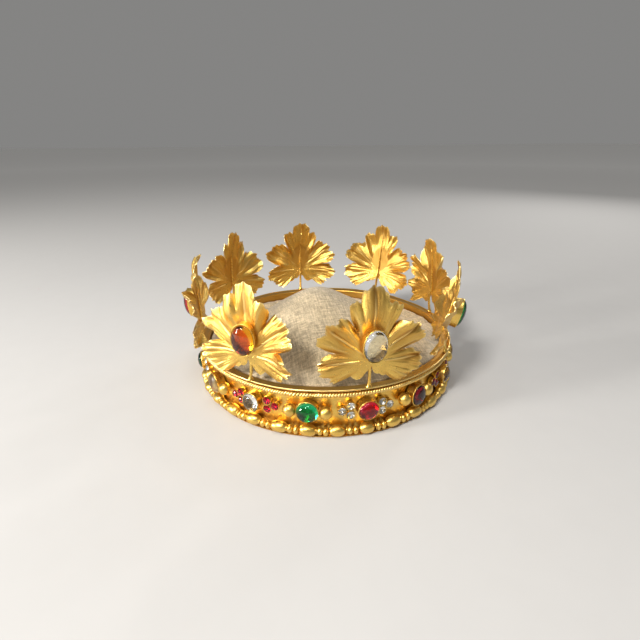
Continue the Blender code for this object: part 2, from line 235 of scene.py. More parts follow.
def crown_piece(name, part, finish, slot, *nodes, **look):
    piece = mesh_piece(name, *part, finish, **look)
    stands_for(piece, slot, *nodes)
    return piece


# --- materials


class Nodes:
    """A short way to build a Principled material."""

    def __init__(self, name):
        self.material = bpy.data.materials.new(name)
        self.material.use_nodes = True
        self.tree = self.material.node_tree
        self.shader = self.tree.nodes["Principled BSDF"]

    def new(self, kind, values=None, **settings):
        node = self.tree.nodes.new(kind)
        for key, value in settings.items():
            setattr(node, key, value)
        for key, value in (values or {}).items():
            if isinstance(value, bpy.types.NodeSocket):
                self.tree.links.new(value, node.inputs[key])
            else:
                node.inputs[key].default_value = value
        return node

    def set(self, **values):
        for key, value in values.items():
            socket = self.shader.inputs[key.replace("_", " ")]
            if isinstance(value, bpy.types.NodeSocket):
                self.tree.links.new(value, socket)
            else:
                socket.default_value = value

    def math(self, operation, first, second=0.5, clamp=False):
        values = {0: first, 1: second}
        return self.new("ShaderNodeMath", values, operation=operation, use_clamp=clamp).outputs[0]

    def mix(self, factor, first, second):
        node = self.new("ShaderNodeMix", data_type="RGBA")
        for key, value in (("Factor", factor), ("A", first), ("B", second)):
            socket = next(s for s in node.inputs if s.name == key and s.enabled)
            if isinstance(value, bpy.types.NodeSocket):
                self.tree.links.new(value, socket)
            else:
                socket.default_value = value if key == "Factor" else (*value[:3], 1)
        return next(s for s in node.outputs if s.enabled)

    def ramp(self, value, low, high, to_low=0.0, to_high=1.0):
        node = self.new(
            "ShaderNodeMapRange",
            {"Value": value, "From Min": low, "From Max": high, "To Min": to_low, "To Max": to_high},
        )
        return node.outputs["Result"]

    def noise(self, scale, detail=3.0, roughness=0.5, vector=None):
        values = {"Scale": scale, "Detail": detail, "Roughness": roughness}
        if vector is None:
            vector = self.new("ShaderNodeTexCoord").outputs["Object"]
        values["Vector"] = vector
        return self.new("ShaderNodeTexNoise", values).outputs["Fac"]

    def attribute(self, name, output="Fac"):
        return self.new("ShaderNodeAttribute", attribute_name=name).outputs[output]

    def bump(self, height, distance, strength=1.0, normal=None):
        values = {"Height": height, "Distance": distance, "Strength": strength}
        if normal is not None:
            values["Normal"] = normal
        return self.new("ShaderNodeBump", values).outputs["Normal"]


GOLD = (0.88, 0.60, 0.15)
DEEP_GOLD = (0.44, 0.20, 0.035)
# the colour of the painted highlights on edges and veins
PAINTED_HIGHLIGHT_GOLD = (1.0, 0.79, 0.35)
GLASS_IOR = 1.52
WEAVE = 0.62 * MM  # one over and under of the cap's threads


def gilt(name, roughness=0.26, dents=0.0, dent_scale=220.0, patina=0.35, masks=False):
    """Old gilding: warm, a little uneven in colour and gloss; with masks, browner in its recesses (painted
    shade, with some patina) and paler on its edges (a painted highlight).
    """
    m = Nodes(name)
    cloud = m.noise(90.0, 4.0, 0.6)
    fine = m.noise(900.0, 3.0, 0.6)
    colour = m.mix(m.ramp(cloud, 0.35, 0.72, 0.0, patina), GOLD, DEEP_GOLD)
    gloss = m.ramp(fine, 0.3, 0.7, roughness * 0.75, roughness * 1.3)
    if masks:
        shade_and_patina = m.attribute("shade_and_patina")
        edge = m.attribute("edge")
        # painted shade, with some patina: browner towards DEEP_GOLD in hollows and shaded spots
        colour = m.mix(m.ramp(shade_and_patina, 0.0, 0.9, 0.0, 0.95), colour, DEEP_GOLD)
        # painted highlight: paler on edges and veins
        colour = m.mix(m.ramp(edge, 0.0, 1.0, 0.0, 0.6), colour, PAINTED_HIGHLIGHT_GOLD)
        gloss = m.math("ADD", gloss, m.ramp(shade_and_patina, 0.0, 1.0, 0.0, 0.12))
    m.set(Base_Color=colour, Metallic=1.0, Roughness=gloss)
    normal = m.bump(fine, 0.02 * MM)
    if dents:
        normal = m.bump(m.noise(dent_scale, 2.0, 0.4), dents, normal=normal)
    m.set(Normal=normal)
    return m


def leaf_material():
    """Gilding with fine lines fanning out from the foot of the leaf."""
    m = gilt("gilt_leaf_fine", roughness=0.31, masks=True)
    split = m.new("ShaderNodeSeparateXYZ", {0: m.attribute("polar", "Vector")})
    # the noise is stretched along each ray from the stalk, so it reads as fine veins
    along = m.math("MULTIPLY", split.outputs["Y"], 0.06)
    fan = m.new("ShaderNodeCombineXYZ", {"X": split.outputs["X"], "Y": along})
    lines = m.noise(34.0, 4.0, 0.65, fan.outputs[0])
    plain_normal = m.shader.inputs["Normal"].links[0].from_socket
    plain_colour = m.shader.inputs["Base Color"].links[0].from_socket
    # painted shade: darker in the grooves of the fine lines
    m.set(Base_Color=m.mix(m.ramp(lines, 0.46, 0.30, 0.0, 0.4), plain_colour, DEEP_GOLD))
    m.set(Normal=m.bump(lines, 0.28 * MM, 0.9, normal=plain_normal))
    return m.material


def glass(name, colour, roughness=0.015, gloss=0.35):
    """Coloured glass, a little swirled."""
    m = Nodes("glass_" + name)
    swirl = m.noise(260.0, 2.0, 0.5)
    tint = m.mix(m.ramp(swirl, 0.4, 0.7, 0.0, 0.35), colour, tuple(c * 0.72 for c in colour))
    m.set(Base_Color=tint, Roughness=roughness, IOR=GLASS_IOR)
    m.set(Transmission_Weight=1.0, Specular_IOR_Level=gloss)
    return m.material


def foil(name, colour, roughness=0.18):
    """The bright leaf behind a glass stone, slightly crinkled."""
    m = Nodes("foil_" + name)
    crinkle = m.noise(700.0, 2.0, 0.5)
    m.set(Base_Color=m.mix(m.ramp(crinkle, 0.4, 0.6, 0.0, 0.5), colour, tuple(c * 0.7 for c in colour)))
    m.set(Metallic=1.0, Roughness=roughness, Normal=m.bump(crinkle, 0.0002, 0.6))
    return m.material


def cloth_material(name, warm, cool, thread=(0.95, 0.78, 0.5), glint=0.5):
    """Two sets of threads crossing, unevenly dyed, with painted shade where the threads lie low, and a
    metallic thread that glints.
    """
    m = Nodes(name)
    flat = m.attribute("flat", "Vector")
    split = m.new("ShaderNodeSeparateXYZ", {0: flat})
    wander = m.math("MULTIPLY", m.math("SUBTRACT", m.noise(260.0, 2.0, 0.5, flat), 0.5), 1.6)
    heights, slubs = [], []
    for axis, other in (("X", "Y"), ("Y", "X")):
        phase = m.math("MULTIPLY", split.outputs[axis], math.tau / WEAVE)
        phase = m.math("ADD", phase, wander)
        heights.append(m.math("SINE", phase))
        across = m.math("MULTIPLY", split.outputs[axis], 7.0)
        squeezed = m.new("ShaderNodeCombineXYZ", {"X": across, "Y": split.outputs[other]})
        slubs.append(m.noise(120.0, 4.0, 0.75, squeezed.outputs[0]))
    over = m.math("MULTIPLY", heights[0], heights[1])
    weave = m.math("ADD", m.math("MULTIPLY", over, 0.5), 0.5)
    slub = m.math("MULTIPLY", m.math("ADD", slubs[0], slubs[1]), 0.5)
    soil = m.noise(28.0, 4.0, 0.6, flat)
    colour = m.mix(m.ramp(soil, 0.35, 0.68), warm, cool)
    # painted shade: darker where the threads lie low, in the slubs' hollows and under each crossing of the
    # weave
    colour = m.mix(m.ramp(slub, 0.42, 0.56), tuple(c * 0.42 for c in warm), colour)
    colour = m.mix(m.ramp(weave, 0.0, 0.5, 0.55, 0.0), colour, tuple(c * 0.4 for c in warm))
    sparks = m.noise(2600.0, 1.0, 0.5, flat)
    glints = m.math("MULTIPLY", m.ramp(sparks, 0.60, 0.68), glint, clamp=True)
    glints = m.math("MAXIMUM", glints, m.ramp(slub, 0.53, 0.64, 0.0, glint))
    colour = m.mix(glints, colour, thread)
    m.set(Base_Color=colour, Metallic=m.math("MULTIPLY", glints, 0.75))
    m.set(Roughness=m.ramp(glints, 0.0, 1.0, 0.78, 0.36))
    m.set(Sheen_Weight=0.25, Sheen_Roughness=0.5)
    height = m.math("ADD", m.math("MULTIPLY", weave, 0.4), m.math("MULTIPLY", slub, 2.5))
    m.set(Normal=m.bump(height, 0.35 * MM, 0.9))
    return m.material


GILT_BAND = gilt("gilt_band_fine", roughness=0.33, dents=0.0005, dent_scale=75.0, masks=True).material
GILT_WIRE = gilt("gilt_wire_fine", roughness=0.30, masks=True).material
GILT_BEAD = gilt("gilt_bead_fine", roughness=0.35, dents=0.00025, dent_scale=260.0, patina=0.4).material
GILT_CUP = gilt("gilt_collet_fine", roughness=0.30, dents=0.00015, dent_scale=300.0, patina=0.3).material
GILT_LEAF = leaf_material()
GILT_STALK = gilt("gilt_stalk_fine", roughness=0.28, dents=0.0002, dent_scale=500.0, patina=0.5).material
GLASS = {
    "clear": glass("clear_fine", (0.97, 0.97, 0.95), gloss=0.5),
    "amber": glass("amber_fine", (0.88, 0.35, 0.010)),
    "ruby": glass("ruby_fine", (0.66, 0.006, 0.035)),
    "emerald": glass("emerald_fine", (0.008, 0.46, 0.17)),
    "garnet": glass("garnet_fine", (0.24, 0.004, 0.012), gloss=0.2),
    "citrine": glass("citrine_fine", (1.0, 0.82, 0.42), roughness=0.35),
}
FOIL = {
    "clear": foil("gold", (0.95, 0.80, 0.50)),
    "amber": foil("amber", (0.98, 0.72, 0.30)),
    "ruby": foil("rose", (0.95, 0.80, 0.82)),
    "emerald": foil("green", (0.75, 0.95, 0.85)),
    "garnet": foil("dark", (0.60, 0.45, 0.45)),
    "citrine": foil("yellow", (0.98, 0.80, 0.42)),
    "silver": foil("silver", (0.92, 0.92, 0.90), 0.1),
}


# --- band


def ripple(turn, seed, count=5, low=2, high=11):
    """A small wave round the crown, from -1 to 1."""
    total = 0.0
    for index in range(count):
        waves = low + (seed * 7 + index * 5) % (high - low + 1)
        total += math.sin(waves * turn + seed * 1.7 + index * 2.1) / (1 + 0.4 * index)
    return total / 2.4


def build_band():
    """The turned sheet: flange, wall, cove, rolled edge, flat lip and the wall's inside."""
    bottom = RIM_Z - 1.0 * MM - FLARE_R * math.sin(FLARE_ANGLE)
    middle = (WALL_IN + WALL_OUT) / 2
    centre = middle + FLARE_R
    lip_r = middle + FLARE_R * (1 - math.cos(FLARE_ANGLE))
    flange_r, flange_thick, bevel = 89.3 * MM, 0.8 * MM, 0.3 * MM
    outline = [(WALL_IN, 0.0), (WALL_IN + bevel, 0.0), (flange_r - bevel, 0.0), (flange_r, bevel / 2)]
    outline += [(flange_r, flange_thick - bevel / 2), (flange_r - bevel, flange_thick)]
    outline += [(WALL_OUT + 0.6 * MM, flange_thick), (WALL_OUT, 1.3 * MM)]
    outline += [(WALL_OUT, bottom * share) for share in np.linspace(0.12, 0.98, 16)]
    cove_start = len(outline)
    for angle in np.linspace(0, 68, 10):
        t = math.radians(angle)
        reach = FLARE_R - 0.45 * MM
        outline.append((centre - reach * math.cos(t), bottom + reach * math.sin(t)))
    cove_end = len(outline)
    # a rolled edge, then a flat lip back to the wall
    roll = (lip_r + 0.45 * MM, RIM_Z - 0.55 * MM)
    roll_r = 0.5 * MM
    for angle in np.linspace(-100, 100, 13):
        t = math.radians(angle)
        outline.append((roll[0] + roll_r * math.cos(t), roll[1] + roll_r * math.sin(t)))
    roll_end = len(outline)
    lip = ((88.8, 0.35), (88.4, 0.6), (87.4, 0.7), (86.2, 0.65), (85.2, 0.5))
    outline += [(radius * MM, RIM_Z - depth * MM) for radius, depth in lip]
    corner_r = 0.9 * MM
    for angle in np.linspace(8, 90, 7):
        t = math.radians(angle)
        inward, down = corner_r * (1 - math.sin(t)), corner_r * (1 - math.cos(t))
        outline.append((WALL_IN + inward, RIM_Z - 0.5 * MM - down))
    outline += [(WALL_IN, (RIM_Z - 2.0 * MM) * share) for share in np.linspace(0.95, 0.06, 16)]

    def wobble(r, z, turn):
        lip = float(smooth(bottom, RIM_Z, z))
        r += 0.22 * MM * lip * ripple(turn, 3, high=14)
        z += 0.30 * MM * lip * ripple(turn, 5, high=17) - 0.2 * MM * lip
        wall = float(smooth(1.5 * MM, 6 * MM, z)) * (1 - lip)
        r += 0.10 * MM * wall * ripple(turn, 2, high=19)
        return r, z

    steps = 384
    band = lathe(outline, steps, wobble)
    # painted shade, with some patina, at the wall's foot above the flange and in the cove under the lip;
    # painted shade on the flat lip and the wall's inside, standing in for the dark they reflect; a painted
    # highlight on the rolled edge
    shade_and_patina, edge = np.zeros(len(outline)), np.zeros(len(outline))
    for index, (r, z) in enumerate(outline):
        if index < cove_start and r > WALL_IN + 0.4 * MM:
            shade_and_patina[index] = max(0.0, 1 - abs(z - 1 * MM) / (3.5 * MM)) * 0.8
        elif index < cove_end:  # also the wall's inside corner at the foot
            shade_and_patina[index] = 0.7
        elif index < roll_end:
            # painted highlight on the rolled edge
            edge[index] = 0.9
        else:
            # painted shade on the flat lip and down the wall's inside
            shade_and_patina[index] = 0.55
    layers = {"edge": np.repeat(edge, steps), "shade_and_patina": np.repeat(shade_and_patina, steps)}
    look = {"sharp": 50, "layers": layers}
    crown_piece("circlet_band_fine", band, GILT_BAND, "gilt_brass", "circlet_band", **look)


def build_milled_wire():
    """Two strands twisted together, bedded in the cove under the lip."""
    low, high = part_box("milled_wire")
    height = (low[2] + high[2]) / 2
    circle = high[0] - 1.75 * MM
    twists = 165
    steps = twists * 9
    strand_r = 0.78 * MM  # from the middle of the pair to each strand's own middle
    parts = []
    for strand in range(2):
        path, radii = [], []
        for step in range(steps):
            turn = math.tau * step / steps
            phase = twists * turn + strand * math.pi + 0.9 * ripple(turn, 9, low=5, high=60)
            r = circle + strand_r * math.cos(phase) + 0.12 * MM * ripple(turn, 6, high=15)
            z = height + strand_r * math.sin(phase) + 0.18 * MM * ripple(turn, 5, high=17)
            path.append(around(turn, r, z))
            radii.append((0.88 + 0.14 * ripple(turn, 4 + strand, low=30, high=120)) * MM)
        parts.append(tube(path, radii, 8, closed=True))
    wire = merged(parts)
    spots = np.array([tuple(p) for p in wire[0]])
    out = np.hypot(spots[:, 0], spots[:, 1]) - circle
    # painted highlight on the strands' outer sides and painted shade between them
    edge = smooth(0.9 * MM, 1.65 * MM, np.hypot(out, spots[:, 2] - height))
    layers = {"edge": edge * 0.8, "shade_and_patina": 1 - edge}
    crown_piece("milled_wire_fine", wire, GILT_WIRE, "gilt_wire", "milled_wire", layers=layers)


def bead(half_length, radius, hole=0.55 * MM, rings=13, steps=22, square=2.0):
    """A bead along X, with a hole's rim at each end."""
    outline = []
    for index in range(rings):
        share = -1 + 2 * index / (rings - 1)
        x = half_length * math.sin(share * math.pi / 2)
        inside = max(0.0, 1 - abs(x / half_length) ** square)
        outline.append((x, max(hole, radius * inside ** (1 / square))))
    turns = [math.tau * step / steps for step in range(steps)]
    points = [(x, r * math.cos(t), r * math.sin(t)) for x, r in outline for t in turns]
    faces = [tuple(reversed(face)) for face in grid_faces(rings, steps)]
    faces.append(tuple(range(steps)))
    faces.append(tuple(reversed(range((rings - 1) * steps, rings * steps))))
    return points, faces


def build_beads():
    """Large beads, a pair of small ones between them, the strand's wire and its ties."""
    dice = np.random.default_rng(11)
    pitch = math.tau / BEADS
    large, small = [], []
    for index in range(BEADS):
        half = (4.75 + 0.75 * dice.random()) * MM
        radius = (3.4 + 0.2 * dice.random()) * MM
        nudge = slack(dice, 0.6) * MM
        lift = slack(dice, 0.5) * MM
        roll = turned(slack(dice, 0.16), "Y") @ turned(slack(dice, 0.12), "Z")
        bearing = index * pitch + nudge / BEAD_R
        spot = at_bearing(bearing, BEAD_R, BEAD_Z + lift) @ roll
        large.append(placed(bead(half, radius, square=2.1 + 0.5 * dice.random()), spot))
        for side in (-1, 1):
            half_small = (1.6 + 0.2 * dice.random()) * MM
            small_radius = (2.35 + 0.35 * dice.random()) * MM
            along = (index + 0.5) * pitch + side * 1.75 * MM / BEAD_R
            drop = slack(dice, 0.5) * MM - 0.4 * MM
            tip = turned(slack(dice, 0.3), "Z")
            spot = at_bearing(along, BEAD_R + 0.3 * MM, BEAD_Z + drop) @ tip
            small.append(placed(bead(half_small, small_radius, rings=9, steps=18), spot))
    crown_piece("large_beads", merged(large), GILT_BEAD, "gilt_beads", "bead_strand")
    crown_piece("small_beads", merged(small), GILT_BEAD, "gilt_beads")
    steps = 8 * BEADS
    path = [at_bearing(math.tau * s / steps, BEAD_R, BEAD_Z).translation for s in range(steps)]
    wire = tube(path, [0.45 * MM] * steps, 6, closed=True)
    crown_piece("strand_wire", wire, GILT_STALK, "gilt_beads")
    # a fine wire loop over the strand beside every large bead ties it to the flange
    ties = []
    loop_r, loop_skew, loop_steps = 2.0 * MM, 0.25 * MM, 20
    for index in range(BEADS):
        centre = at_bearing((index + 0.30) * pitch, BEAD_R, BEAD_Z - 0.3 * MM)
        loop = []
        for step in range(loop_steps):
            t = math.tau * step / loop_steps
            spot = Vector((loop_skew * math.sin(2 * t), loop_r * math.cos(t), loop_r * math.sin(t)))
            loop.append(centre @ spot)
        ties.append(tube(loop, [0.28 * MM] * loop_steps, 6, closed=True))
    crown_piece("strand_ties", merged(ties), GILT_STALK, "gilt_beads")


# --- settings


FLOOR_SHARE = 0.28  # how deep in its collet a stone's foil lies, as a share from the foot


def collet_body(wide, tall, depth, lip=0.55 * MM, spread=0.5 * MM):
    """A cup: flared outside wall, rounded lip, inside wall and a floor."""
    rings = [oval(wide - spread, tall - spread, 0.0)]
    for share in (0.04, 0.3, 0.6, 0.85):
        out = spread * (1 - share**1.6)
        rings.append(oval(wide - out, tall - out, depth * share))
    for angle in (0, 45, 90, 135, 180):
        t = math.radians(angle)
        inset = lip / 2 * (1 - math.cos(t))
        rings.append(oval(wide - inset, tall - inset, depth + lip / 2 * math.sin(t) - lip / 2))
    rings.append(oval(wide - lip, tall - lip, depth * FLOOR_SHARE))
    return cup_of_rings(rings)


def dome(half_wide, half_tall, bottom, girdle, top):
    """A cabochon: flat back, short girdle and dome."""
    rings = [oval(half_wide * 0.96, half_tall * 0.96, bottom)]
    rings.append(oval(half_wide, half_tall, bottom + 0.25 * MM))
    rings.append(oval(half_wide, half_tall, girdle))
    for angle in np.linspace(8, 84, 13):
        t = math.radians(angle)
        share, rise = math.cos(t), math.sin(t)
        rings.append(oval(half_wide * share, half_tall * share, girdle + (top - girdle) * rise))
    points, faces = cup_of_rings(rings, close_last=False)
    points.append((0.0, top, 0.0))
    last = len(points) - 1
    start = last - OVAL_STEPS
    faces += [(start + s, start + (s + 1) % OVAL_STEPS, last) for s in range(OVAL_STEPS)]
    return points, faces


def disc(half_wide, half_tall, low, high):
    """A flat oval plate."""
    rings = [oval(half_wide, half_tall, low), oval(half_wide, half_tall, high)]
    return cup_of_rings(rings)


def set_stone(prefix, number, half, wall, depth, rise, stone, place, *collet_nodes):
    """One collet with its foil and its cabochon, which rises above the collet's lip."""
    wide, tall = (h + wall for h in half)
    cup = placed(collet_body(wide, tall, depth), place)
    name = f"{prefix}_collet_fine_{number}"
    crown_piece(name, cup, GILT_CUP, "gilt_brass", *collet_nodes, sharp=50)
    floor = depth * FLOOR_SHARE
    inner = (wide - 0.62 * MM, tall - 0.62 * MM)
    back = placed(disc(*inner, floor + 0.05 * MM, floor + 0.2 * MM), place)
    crown_piece(f"{prefix}_foil_{number}", back, FOIL[stone], "gilt_brass")
    size = (half[0] - 0.02 * MM, half[1] - 0.02 * MM)
    gem = placed(dome(*size, floor + 0.35 * MM, depth - 0.35 * MM, depth + rise), place)
    name, node = f"{prefix}_cabochon_fine_{number}", f"{prefix}_cabochon_{number}"
    crown_piece(name, gem, GLASS[stone], "glass_" + stone, node, sharp=60)


CHATON_FRONT_FACES = 57  # table, crown and girdle
CHATON_FACES = 73  # with the sixteen of the pavilion


def chaton(radius, table=0.56, crown=0.38, pavilion=0.72):
    """A faceted round stone facing Y: table, crown, girdle, and a foiled pavilion."""
    eight = [math.tau * s / 8 for s in range(8)]
    sixteen = [math.tau * s / 16 for s in range(16)]

    def ring(share, depth, turns):
        return [(radius * share * math.cos(t), depth, -radius * share * math.sin(t)) for t in turns]

    high, low = radius * crown, -radius * pavilion
    points = ring(table, high, eight) + ring(0.80, high * 0.55, [t + math.tau / 16 for t in eight])
    points += ring(1.0, 0.0, sixteen) + ring(1.0, -radius * 0.08, sixteen) + [(0, low, 0)]
    faces = [tuple(range(8))]
    for s in range(8):
        n = (s + 1) % 8
        a, b, mid = s, n, 8 + s
        g0, g1, g2 = 16 + 2 * s, 16 + 2 * s + 1, 16 + (2 * s + 2) % 16
        faces += [(a, mid, b), (a, g0, mid), (mid, g0, g1), (mid, g1, g2), (mid, g2, b)]
    faces += [(16 + s, 32 + s, 32 + (s + 1) % 16, 16 + (s + 1) % 16) for s in range(16)]
    faces += [(32 + s, 48, 32 + (s + 1) % 16) for s in range(16)]
    return points, faces


def chaton_cup(radius, depth):
    """A small round cup: outside, rim and hollow, as shares of its radius and depth."""
    outside = ((0.8, 0.0), (0.95, 0.5), (1.0, 0.92), (0.97, 1.0))
    inside = ((0.86, 0.98), (0.80, 0.72), (0.12, 0.12))
    rings = [oval(radius * wide, radius * wide, depth * up, 24) for wide, up in outside + inside]
    return cup_of_rings(rings)


def on_the_wall(along, up, out=0.0):
    """A spot beside a setting's middle: along the wall, up it and out of it."""
    bearing = along / SETTING_R
    centre = Matrix.Translation((0, -SETTING_R, 0))
    return centre @ turned(-bearing, "Z") @ Matrix.Translation((0, SETTING_R + out, up))


def sphere(radius, rings=15, steps=28, squash=0.94):
    """A ball whose axis is Y, a little flattened against the wall."""
    stack = []
    for index in range(1, rings):
        t = -math.pi / 2 + math.pi * index / rings
        across = radius * math.cos(t)
        stack.append(oval(across, across, radius * squash * math.sin(t), steps))
    points, faces = cup_of_rings(stack, False, False)
    first, last = len(points), len(points) + 1
    points += [(0, -radius * squash, 0), (0, radius * squash, 0)]
    start = (rings - 2) * steps
    faces += [((s + 1) % steps, s, first) for s in range(steps)]
    faces += [(start + s, start + (s + 1) % steps, last) for s in range(steps)]
    return points, faces


def tilted(dice, span):
    """A small random tilt of a setting."""
    return turned(slack(dice, span), "X") @ turned(slack(dice, span), "Z")


def build_trefoil_settings(dice):
    """Under each leaf: a collet between two clusters of three cups with faceted stones."""
    for index in range(SETTINGS):
        number = index + 1
        base = at_bearing(index * math.tau / SETTINGS, SETTING_R, SETTING_Z)
        place = base @ tilted(dice, 0.12)
        stone = TREFOIL_STONES[index]
        half = (5.95 * MM, 5.5 * MM) if stone != "clear" else (5.5 * MM, 5.6 * MM)
        set_stone("trefoil", number, half, 0.75 * MM, 5.7 * MM, 2.6 * MM, stone, place)
        cups, gems = [], []
        for side in (-1, 1):
            for along, up in ((9.35, 2.85), (9.35, -2.85), (14.2, 0.0)):
                jog = [slack(dice, 0.35) * MM for _ in range(2)]
                spot = on_the_wall(side * along * MM + jog[0], up * MM + jog[1])
                spin = turned(dice.random() * 0.8, "Y") @ turned(slack(dice, 0.3), "X")
                cups.append(placed(chaton_cup(2.85 * MM, 3.1 * MM), base @ spot))
                lift = Matrix.Translation((0, 2.95 * MM, 0))
                gems.append(placed(chaton(2.62 * MM), base @ spot @ lift @ spin))
        name, node = f"trefoil_cups_{number}", f"trefoil_setting_{number}"
        crown_piece(name, merged(cups), GILT_CUP, "gilt_brass", node, sharp=40)
        shade, name = TREFOIL_CHATONS[index], f"trefoil_chatons_{number}"
        gem = crown_piece(name, merged(gems), GLASS[shade], "glass_clear", sharp="flat")
        gem.data.materials.append(FOIL["ruby"] if shade != "clear" else FOIL["silver"])
        for face, polygon in enumerate(gem.data.polygons):
            polygon.material_index = 1 if face % CHATON_FACES >= CHATON_FRONT_FACES else 0


# half width, half height, collet's wall and depth, and the stone's rise above it, in millimetres
BALL_STONE_SIZES = {
    "emerald": (6.35, 6.3, 0.5, 4.6, 4.2),
    "garnet": (5.6, 6.4, 0.75, 5.7, 2.6),
}
PLAIN_SIZES = (5.7, 6.2, 0.75, 5.7, 2.6)


def build_ball_settings(dice):
    """Between leaves: a collet between two gilt balls."""
    for index in range(SETTINGS):
        number = index + 1
        base = at_bearing((index + 0.5) * math.tau / SETTINGS, SETTING_R, SETTING_Z)
        place = base @ tilted(dice, 0.14)
        stone = BALL_STONES[index]
        *half, wall, depth, rise = (size * MM for size in BALL_STONE_SIZES.get(stone, PLAIN_SIZES))
        set_stone("ball", number, half, wall, depth, rise, stone, place)
        balls = []
        for side in (-1, 1):
            radius = (3.85 + 0.25 * dice.random()) * MM
            along = (half[0] + wall + radius - 0.3 * MM) / (1 + radius / SETTING_R)
            up = slack(dice, 0.8) * MM
            balls.append(placed(sphere(radius), base @ on_the_wall(side * along, up, radius * 0.92)))
        name, node = f"gilt_balls_{number}", f"ball_setting_{number}"
        crown_piece(name, merged(balls), GILT_BEAD, "gilt_brass", node)


# --- leaves

# two half outlines: angle from straight up in degrees, reach in millimetres, and how far that
# spot stands out of the sheet, from -1 in a deep notch to 1 on a lobe
HALF_LEAVES = (
    (
        (0.0, 41.3, 0.4), (11.5, 32.2, 0.1), (18.5, 35.2, 0.3), (28.0, 16.5, -1.0), (35.5, 31.0, 0.2),
        (43.0, 30.4, 0.3), (50.0, 32.8, 0.4), (57.5, 29.6, 0.3), (66.0, 32.4, 0.2), (76.5, 14.5, -1.0),
        (85.5, 27.6, 0.2), (88.5, 27.8, 0.3), (94.5, 30.8, 0.4), (100.5, 28.8, 0.3), (104.5, 28.8, 0.3),
        (111.0, 24.4, 0.1), (121.0, 24.8, 0.2), (132.5, 14.5, -0.8), (146.0, 14.2, 0.3), (160.0, 7.5, 0.0),
        (173.0, 4.4, -0.3),
    ),
    (
        (0.0, 41.3, 0.4), (12.5, 32.8, 0.1), (19.0, 34.6, 0.3), (22.0, 34.2, 0.3), (25.5, 34.4, 0.2),
        (30.8, 17.0, -1.0), (37.0, 29.0, 0.2), (43.0, 29.6, 0.3), (52.0, 32.8, 0.4), (58.0, 30.8, 0.3),
        (65.5, 33.2, 0.3), (77.5, 14.0, -1.0), (86.5, 25.6, 0.2), (93.5, 30.2, 0.4), (98.0, 29.2, 0.3),
        (103.5, 31.0, 0.3), (110.5, 27.0, 0.1), (117.0, 26.8, 0.3), (123.0, 24.8, 0.2), (129.5, 23.6, 0.1),
        (138.0, 14.6, -0.8), (150.0, 10.5, 0.2), (173.0, 4.4, -0.3),
    ),
)
LOBES = ((-172, -135), (-135, -77), (-77, -29), (-29, 29), (29, 77), (77, 135), (135, 172))
# how each leaf wraps round the crown: below zero its sides turn inwards, per millimetre
WRAPS = (0.0005, -0.0030, -0.0040, -0.0035, -0.0035, -0.0040, 0.0020, 0.0040)
COLLET_TURNS = (0,) * 7 + (12,)
BACK_RISE = 1.3 * MM  # the three leaves at the back have longer stalks
MAIN_VEINS = (0.0, 52.0, 93.0)
SIDE_VEINS = (20.0, 37.0, 67.0, 120.0)
LEAF_HALF_THICK = 0.3 * MM


def leaf_outline(dice):
    """Both halves, each a little different: sorted angles with reach and relief."""
    rows = []
    swap = int(dice.integers(2))
    for side in (-1, 1):
        half = HALF_LEAVES[swap if side < 0 else 1 - swap]
        for index, (angle, reach, relief) in enumerate(half):
            if index == 0 and side < 0:
                continue
            if index:
                angle += slack(dice, 1.6)
                reach *= 1 + slack(dice, 0.05)
            rows.append((side * angle, reach * MM, relief + slack(dice, 0.15)))
    rows.append((180.0, 3.2 * MM, 0.0))
    rows.append((-180.0, 3.2 * MM, 0.0))
    return sorted(rows)


def along_outline(angles, rows):
    """Reach and relief at each angle: round at a lobe's tip and sharp in a notch."""
    knots = np.array(rows)
    slots = np.clip(np.searchsorted(knots[:, 0], angles, side="right") - 1, 0, len(knots) - 2)
    low, high = knots[slots], knots[slots + 1]
    share = (angles - low[:, 0]) / (high[:, 0] - low[:, 0])
    rising = high[:, 1] > low[:, 1]
    rounding = np.where(np.abs(high[:, 1] - low[:, 1]) > 8 * MM, 0.36, 0.55)
    up = np.sin(share * np.pi / 2) ** rounding
    down = np.sin((1 - share) * np.pi / 2) ** rounding
    reach = low[:, 1] + (high[:, 1] - low[:, 1]) * np.where(rising, up, 1 - down)
    even = 0.5 - 0.5 * np.cos(share * np.pi)
    return reach, low[:, 2] + (high[:, 2] - low[:, 2]) * even


def sheet_noise(angles, shares, degrees, times, layer):
    """Smooth noise over the sheet: degrees to a wave round it, and times from its foot out."""
    spots = zip(angles.ravel(), shares.ravel())
    values = [noise.noise(Vector((a / degrees, s * times, layer))) for a, s in spots]
    return np.array(values).reshape(shares.shape)


